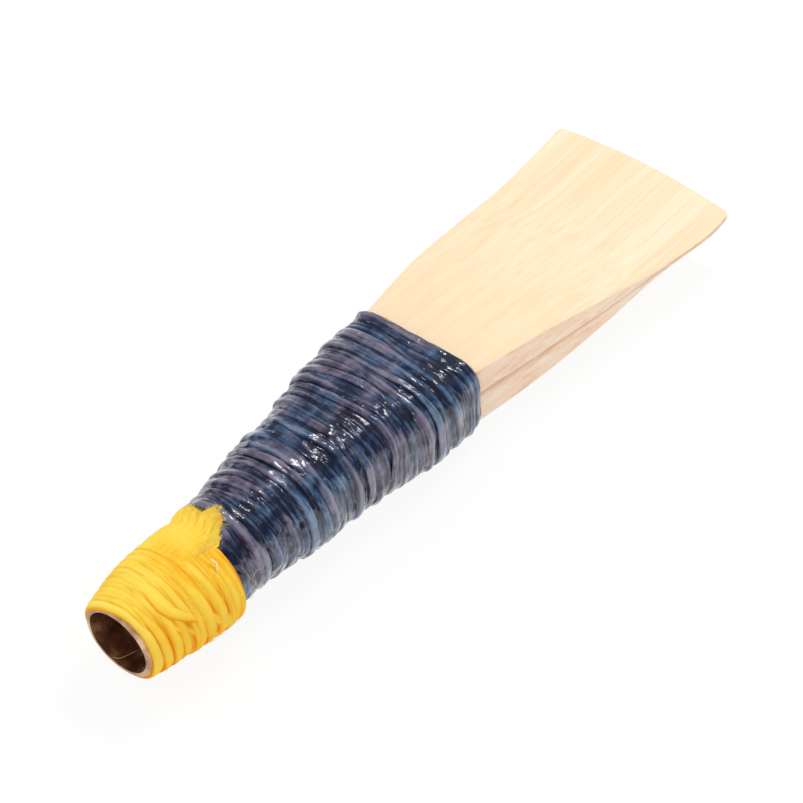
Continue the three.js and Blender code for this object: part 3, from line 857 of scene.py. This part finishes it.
cord = {"width": 0.74, "height": 0.42, "uneven": 0.16, "lumps": 0.015, "taper": 0.12, "twist": 0.4,
        "sides": 36, "plies": 5, "plyDepth": 0.04, "plyShade": 0.03, "liftShade": 1}
hemp = {
    "stations": [0.2, 0.5, 1.5, 2.5, 3.5, 4.5, 5.5, 6.1, 6.5],
    "radii": [2.58, 2.65, 2.84, 3.01, 3.14, 3.19, 3.19, 3.15, 3.05],
    "leans": [0, 0, 0, 0.01, -0.06, -0.14, -0.22, -0.28, -0.3],  # its last layers lie off the axis
    "axisOver": (6.4, 7.4),  # past the collar, under the tuft's peaks, it comes back to the axis
    "stepsPerTurn": 110,
    "levelTurns": 0.7,  # at the start of each run
    "backDepth": 0.085,  # how much deeper the cords lie away from the front
    "lapAngle": 58,  # where the first turn laps the rim
    "lapSpread": 45,
    "lap": 0.26,  # how far that turn goes towards the rim there
    "rimPaintedLight": 0.25,  # and how much paler its first turn is painted all round, a painted light against its shade
    "runs": {  # of cord: from, to, turns, first angle, depth, seed
        "hempRimTurns": (0.45, 3.2, 5, -0.6, 0, 31, cord),
        "hempMiddleTurns": (3.2, 5.7, 4, 0.6, -0.01, 41, dict(cord, width=0.86)),
        "hempCollar": (5.55, 6.15, 2, 0.2, 0, 51, dict(cord, width=0.6, height=0.34, uneven=0.1)),
    },
    # angles, places and depth of each cord that crosses the others at a slant
    "slants": [
        ([20, 100, 140, 158, 176, 200, 260, 330], [1.95, 2.05, 2.25, 3.15, 4.2, 5.1, 5.6, 5.7], -0.035),
        ([30, 110, 146, 166, 184, 206, 260, 330], [2.7, 2.75, 2.95, 3.85, 4.8, 5.35, 5.65, 5.7], -0.055),
        ([60, 120, 150, 172, 196, 222, 270, 340], [1.45, 1.5, 1.75, 2.75, 3.9, 4.8, 5.3, 5.5], -0.065),
    ],
    "slantCord": dict(cord, width=1.02, height=0.36, uneven=0.2, liftShade=0.5, lumps=0),
    "slantSteps": 240,
    "slantDive": 0.25,  # how far both ends go under the other cords
    "sleeve": {"from": 0.16, "to": 6.35, "depth": 0.045, "inside": 0.36, "tone": 1.045, "swell": 2,
               "ridge": 0.012},
}


def hempLean(x):
    return atStations(hemp, "leans", x) * (1 - easeStep(x, *hemp["axisOver"]))


def hempSection(x, angle):
    radius = atStations(hemp, "radii", x)
    place, normal = sectionPoint(angle, radius, radius, 2)
    place[..., 0] += hempLean(x)
    return place, normal


# Hemp turns: a run of cord, wound level at first and then evenly to the run's other end.
def makeHempTurns(name, run, nodes, atRim):
    fromX, toX, turns, phase, depth, seed, strand = run
    t = np.linspace(0, turns, turns * hemp["stepsPerTurn"] + 1)
    angle = 2 * math.pi * t + phase
    level = hemp["levelTurns"]
    x = fromX + (toX - fromX) * np.maximum(t - level, 0) / (turns - level)
    sway = 0.06 * wander(t, 0.22, seed) + 0.04 * np.sin(angle + x)
    x = x + easeStep(np.minimum(t, turns - t), 0, 0.5) * sway
    x = x - hemp["lap"] * hump(np.degrees(angle), hemp["lapAngle"], hemp["lapSpread"]) * atRim
    depth = depth + 0.03 * wander(t, 0.2, seed + 1) - hemp["backDepth"] * (1 - nearFront(angle))
    grid, shade, outness = strandGrid((t, x, angle, depth), hempSection, strand, seed + 2)
    # painted light on the first turn at the rim, against its shade
    outness = outness + hemp["rimPaintedLight"] * atRim * (1 - easeStep(t, 0.5, 1.1))[:, None]
    addSurface(name, grid, (shade, outness, paintedShadeWarmth(angle)[:, None]), hempMaterial, nodes)


def makeSlantCords():
    for number, (angles, places, depth) in enumerate(hemp["slants"]):
        t = np.linspace(0, 1, hemp["slantSteps"])
        turned = angles[0] + (angles[-1] - angles[0]) * t
        x = curveThrough(turned, angles, places)
        dive = hemp["slantDive"] * (1 - easeStep(np.minimum(t, 1 - t), 0, 0.18))
        angle = np.radians(turned)
        path = t, x, angle, depth - dive + 0.03 * wander(t, 0.1, 60 + number)
        grid, shade, outness = strandGrid(path, hempSection, hemp["slantCord"], 70 + 5 * number)
        tones = shade, outness, paintedShadeWarmth(angle)[:, None]
        addSurface("hempSlant" + str(number + 1), grid, tones, hempMaterial)


makeSleeve("hempSleeve", "hemp_core", hempSection, hemp["sleeve"], hempMaterial, paintedShadeWarmth)
for name, run in hemp["runs"].items():
    atRim = name == "hempRimTurns"
    makeHempTurns(name, run, ["hemp_thread"] if atRim else [], atRim)
makeSlantCords()


# The combed-out end of the hemp comes out of the cords and lies over the binding in two ragged peaks.
tuft = {
    "angles": [22, 31, 41, 49, 56, 63, 70, 77, 82, 88, 93, 98, 102, 106, 114],
    "tops": [6.5, 7.3, 7.76, 7.84, 7.78, 7.7, 7.58, 7.56, 8.05, 8.38, 8.3, 8, 7.7, 7.3, 6.5],
    "from": 3.9,
    "crossing": (6, 6.8),  # where it goes from the hemp on to the binding
    "sunk": 0.16,  # how far its inside lies under the cords at the start, and half of it at their end
    "thickness": 0.13,
    "leastThickness": 0.01,
    "ragged": 0.06,
    "shade": 0.8,
    "tone": 0.89,
    "columns": 120, "rows": 60,
    "fibres": 340, "fibreSteps": 9, "fibreRadius": 0.012,
    "fibreAngles": (32, 110), "fibreLengths": (0.8, 2.6),
}


def tuftRadius(x):  # inside of the tuft
    over = atStations(binding, "halfWidths", np.maximum(x, 6.5)) + 0.1
    share = easeStep(x, *tuft["crossing"])
    radius = atStations(hemp, "radii", x) * (1 - share) + over * share
    return radius - tuft["sunk"] + tuft["sunk"] / 2 * easeStep(x, tuft["from"], 6.4)


def tuftArch(angle):  # how full it is across: 1 in the middle, near 0 at its edges, as 3.14 is just under pi
    across = (np.degrees(angle) - tuft["angles"][0]) / (tuft["angles"][-1] - tuft["angles"][0])
    return np.sqrt(np.sin(np.clip(across, 0, 1) * 3.14))


# Tuft: a ruffled felt between an inside and an outside that meet at its edges. Its ruffles are painted paler
# on their crests and darker in their hollows, as painted light and shade.
def makeTuft():
    angle = np.radians(np.linspace(tuft["angles"][0], tuft["angles"][-1], tuft["columns"]))
    top = curveThrough(np.degrees(angle), tuft["angles"], tuft["tops"])
    top = top + tuft["ragged"] * wander(np.degrees(angle), 1.6, 91)
    share = np.linspace(0, 1, tuft["rows"])[:, None]
    x = tuft["from"] + (top[None] - tuft["from"]) * share
    thickness = tuft["thickness"] * np.sqrt(1 - share**6) * tuftArch(angle) + tuft["leastThickness"]
    ruffle = 0.012 * np.sin(angle * 34 + 3 * np.sin(x)) + 0.008 * np.sin(angle * 71 + 2 * x)
    ruffle = ruffle * easeStep(x, 5, 7)
    inner = tuftRadius(x)
    outer = inner + thickness * (1 + 6 * ruffle)

    def laid(radius):
        return np.stack([x, hempLean(x) + radius * np.cos(angle), radius * np.sin(angle)], -1)

    grid = np.concatenate([laid(outer), laid(inner)[:, ::-1]], 1)
    # painted light and shade: the ruffle lifts the tone on its crests and lowers it in its hollows
    tones = tuft["shade"], tuft["tone"] + 2 * np.concatenate([ruffle, ruffle[:, ::-1]], 1), 0
    addSurface("hempTuft", grid, tones, hempMaterial, ["hemp_tail"], "rungs")


# Loose fibres: thin tapered threads at a radius round the axis, all in one mesh, each of its own shade. Those
# whose slotName is hemp lean off the axis as the hemp does.
def makeFibres(name, x, angle, radius, thick, material, slotName, seed, sides=4, pale=0, least=0.65):
    around = fullTurn(sides)
    share = np.linspace(0, 1, x.shape[1])
    thin = thick * np.sqrt(np.maximum(0.04, 1 - (2 * share - 1) ** 4))
    r = radius[..., None] + thin[None, :, None] * np.cos(around)
    slope = np.gradient(x, axis=1)
    sweep = np.gradient(angle, axis=1) * radius
    size = np.hypot(slope, sweep) + 1e-9
    acrossX, acrossAngle = sweep / size, -slope / size
    xs = x[..., None] + (thin * acrossX)[..., None] * np.sin(around)
    a = angle[..., None] + (thin * acrossAngle / radius)[..., None] * np.sin(around)
    middle = hempLean(xs) * (slotName == "hemp")
    grids = keepOffFloor(np.stack([xs, middle + r * np.cos(a), r * np.sin(a)], -1))
    rng = np.random.default_rng(seed)
    each = len(x), 1, 1
    tones = rng.uniform(0, 1, each), rng.uniform(least, 1.3, each), pale
    addSurface(name, grids, tones, material)


# Fibres of the tuft: they run to its top edge and a little past it, in its face or over the cords.
def makeTuftFibres():
    rng = np.random.default_rng(92)
    count = tuft["fibres"]
    each = count, 1
    start = rng.uniform(*tuft["fibreAngles"], count)
    top = curveThrough(start, tuft["angles"], tuft["tops"])
    share = np.linspace(0, 1, tuft["fibreSteps"])
    end = top + rng.normal(0, 0.09, count)
    x = end[:, None] - rng.uniform(*tuft["fibreLengths"], each) * (1 - share)
    spread = rng.normal(0, 5, each) * (share - 0.5) + rng.normal(0, 1.8, each) * share**2
    angle = np.radians(start[:, None] + spread)
    lift = tuft["thickness"] + rng.uniform(-0.02, 0.005, each) + rng.normal(0, 0.04, each) * share**3
    lift = lift * (0.35 + 0.65 * tuftArch(angle))
    radius = tuftRadius(x) + np.maximum(lift * (1 - 0.5 * share**4), 0.04)
    cords = atStations(hemp, "radii", x) - hemp["backDepth"] * (1 - nearFront(angle))
    cords = cords + rng.uniform(-0.05, 0.015, each) - 0.4 * easeStep(x, 6.1, 6.6)
    radius = np.maximum(radius, cords)
    makeFibres("hempTuftFibres", x, angle, radius, tuft["fibreRadius"], hempMaterial, "hemp", 93, least=0.88)


fuzz = {
    "count": 150, "steps": 9, "radius": 0.01, "slant": 0.12, "lift": 0.05,
    "places": (0.7, 6), "within": (0.6, 6.3),
    "lengths": (0.3, 0.95),  # in radians round the hemp
}


# Fuzz on the cords: fibres that follow the turns, their ends a little lifted.
def makeHempFuzz():
    rng = np.random.default_rng(94)
    each, share = (fuzz["count"], 1), np.linspace(0, 1, fuzz["steps"])
    middle = rng.uniform(*fuzz["places"], each)
    length = rng.uniform(*fuzz["lengths"], each)
    slope = rng.normal(0, fuzz["slant"], each)
    angle = rng.uniform(0, 2 * math.pi, each) + length * (share - 0.5)
    x = np.clip(middle + slope * 3 * length * (share - 0.5), *fuzz["within"])
    radius = atStations(hemp, "radii", x) - 0.03 + rng.uniform(-0.03, 0.02, each)
    radius = radius + np.abs(rng.normal(0, fuzz["lift"], each)) * (2 * share - 1) ** 4
    makeFibres("hempFuzz", x, angle, radius, fuzz["radius"], hempMaterial, "hemp", 95, least=1)


specks = {
    "count": 90, "steps": 5, "radius": 0.01, "slant": 1.2, "lifts": (0, 0.05), "pale": 0.6,
    "places": (6.9, 24.4), "within": (6.5, 24.6),
    "lengths": (0.02, 0.06),  # in radians round the binding
}


# Specks: short dry fibre ends and dust held by the wax.
def makeSpecks():
    rng = np.random.default_rng(97)
    each, share = (specks["count"], 1), np.linspace(0, 1, specks["steps"])
    length = rng.uniform(*specks["lengths"], each)
    slope = rng.normal(0, specks["slant"], each)
    angle = rng.uniform(0, 2 * math.pi, each) + length * (share - 0.5)
    middle = rng.uniform(*specks["places"], each)
    x = np.clip(middle + slope * length * (share - 0.5), *specks["within"])
    place, _ = bindingSection(x, angle)
    radius = np.linalg.norm(place, axis=-1) + rng.uniform(*specks["lifts"], each)
    thick, pale = specks["radius"], specks["pale"]
    makeFibres("bindingSpecks", x, angle, radius, thick, fleckMaterial, "binding", 98, pale=pale)


# Each path is three rows: x, angle in degrees and distance from the axis, at a few even steps.
strays = {
    "bindingWisps": {"radius": 0.01, "seed": 96, "pale": 0, "paths": [
        ([6.6, 6.75, 6.9, 7.2, 7.7], [140, 156, 166, 179, 198], [3.08, 3.14, 3.16, 3.18, 3.1]),
        ([6.5, 6.9, 7.4, 7.7, 7.6], [172, 166, 162, 165, 172], [3.1, 3.18, 3.24, 3.22, 3.1]),
        ([6.4, 6.6, 6.9, 7.1, 7.3], [184, 179, 172, 166, 158], [3.1, 3.2, 3.22, 3.15, 3.08]),
    ]},
    "hempFlecks": {"radius": 0.045, "seed": 99, "pale": 1, "paths": [
        ([5.28, 5.36, 5.44, 5.5, 5.52], [132, 130, 128, 126.5, 125.5], [3.3, 3.33, 3.34, 3.34, 3.3]),
        ([5.55, 5.5, 5.46, 5.44, 5.43], [127.5, 125, 122.5, 121, 119.5], [3.3, 3.34, 3.35, 3.34, 3.3]),
    ]},
    "boreFibre": {"radius": 0.024, "seed": 100, "pale": 0, "paths": [
        ([0.03, 0.2, 0.5, 0.9, 1.3], [-69, -77, -82, -85.5, -88.5], [1.93, 1.9, 1.88, 1.89, 1.93]),
        ([1, 1.2, 1.5, 1.9, 2.3], [-101, -98, -93, -90, -88], [1.95, 1.92, 1.9, 1.92, 1.95]),
    ]},
}


# Stray ends: smooth lines through their paths.
def makeStrays(name, stray):
    share = np.linspace(0, 1, 28)
    lines = np.array([
        [curveThrough(share, np.linspace(0, 1, len(row)), row) for row in path] for path in stray["paths"]
    ])
    x, angle, radius = lines[:, 0], np.radians(lines[:, 1]), lines[:, 2]
    thick, seed, pale = stray["radius"], stray["seed"], stray["pale"]
    makeFibres(name, x, angle, radius, thick, fleckMaterial, "hemp", seed, 6, pale)


makeTuft()
makeTuftFibres()
makeHempFuzz()
makeSpecks()
for name, stray in strays.items():
    makeStrays(name, stray)


studio = {
    "floorSize": 1.2,
    "floor": {"Base Color": (0.97, 0.97, 0.97, 1), "Roughness": 0.9, "Specular IOR Level": 0.1},
    "whiteShare": 0.92,
    "worldStrength": 0.77,
    "mirrorDimming": 0.8,
    "cardStrength": 0.1,
    "cardDirection": (0.5056, -0.7, 0.5),
    "cardInner": 0.93,
    "cardOuter": 0.8,
    "keyLamp": {"power": 0.685, "size": (0.135, 0.03), "distance": 0.42,
                "direction": (0.5, 0.02, 0.854), "mirrored": True},
    "fillLamp": {"power": 0.42, "size": (0.5, 0.5), "distance": 0.6,
                 "direction": (0.15, -0.85, 0.5), "mirrored": False},
}


def unitVector(vector):
    return np.array(vector) / np.linalg.norm(vector)


# White floor: seen or mirrored it is mostly plain white, so that the object's shadow on it stays soft.
def makeFloor():
    half = studio["floorSize"] / 2
    mesh = bpy.data.meshes.new("paleFloor")
    corners = [(-half, -half, 0), (half, -half, 0), (half, half, 0), (-half, half, 0)]
    mesh.from_pydata(corners, [], [(0, 1, 2, 3)])
    floor = addObject("paleFloor", mesh)
    material, tree = startMaterial("paleFloor")
    shader = tree.nodes["Principled BSDF"]
    setPlain(shader, studio["floor"])
    rays = addNode(tree, "LightPath").outputs
    seen = mathNode(tree, "MAXIMUM", rays["Is Camera Ray"], rays["Is Glossy Ray"])
    seen = mathNode(tree, "MAXIMUM", seen, rays["Is Transmission Ray"])
    share = mathNode(tree, "MULTIPLY", seen, studio["whiteShare"])
    white = addNode(tree, "Emission", {"Strength": 1}).outputs[0]
    mixed = addNode(tree, "MixShader", {0: share, 1: shader.outputs[0], 2: white}).outputs[0]
    tree.links.new(mixed, tree.nodes["Material Output"].inputs["Surface"])
    mesh.materials.append(material)


# White surroundings, dimmer where mirrored, with one dark card beside the lamp, which the wax mirrors as the
# dark band beside its glints.
def makeWorld():
    world = bpy.data.worlds.new("studioWorld")
    bpy.context.scene.world = world
    world.use_nodes = True
    tree = world.node_tree
    toCard = unitVector(studio["cardDirection"]).tolist()
    direction = addNode(tree, "TexCoord").outputs["Generated"]
    nearness = addNode(tree, "VectorMath", {0: direction, 1: toCard}, operation="DOT_PRODUCT")
    inputs = {
        "Value": nearness.outputs["Value"],
        "From Min": studio["cardOuter"],
        "From Max": studio["cardInner"],
        "To Min": studio["worldStrength"],
        "To Max": studio["cardStrength"],
    }
    strength = addNode(tree, "MapRange", inputs, interpolation_type="SMOOTHSTEP").outputs[0]
    mirrored = addNode(tree, "LightPath").outputs["Is Glossy Ray"]
    dimmed = mathNode(tree, "SUBTRACT", 1, mathNode(tree, "MULTIPLY", mirrored, studio["mirrorDimming"]))
    strength = mathNode(tree, "MULTIPLY", strength, dimmed)
    soft = tree.nodes["Background"]
    setPlain(soft, {"Color": (1, 1, 1, 1)})
    tree.links.new(strength, soft.inputs["Strength"])


def addLamp(name):
    lamp = studio[name]
    data = bpy.data.lights.new(name, "AREA")
    data.energy = lamp["power"]
    data.shape = "ELLIPSE"
    data.size, data.size_y = lamp["size"]
    holder = addObject(name, data)
    holder.visible_glossy = lamp["mirrored"]
    back = unitVector(lamp["direction"])
    side = unitVector(np.cross(back, [1, 0, 0]))  # the long way of a lamp lies across the reed
    holder.matrix_world = turnedTo(side, np.cross(back, side), back, back * lamp["distance"])


makeFloor()
makeWorld()
addLamp("keyLamp")
addLamp("fillLamp")
bpy.context.scene.view_settings.view_transform = "Standard"
print("studio set")
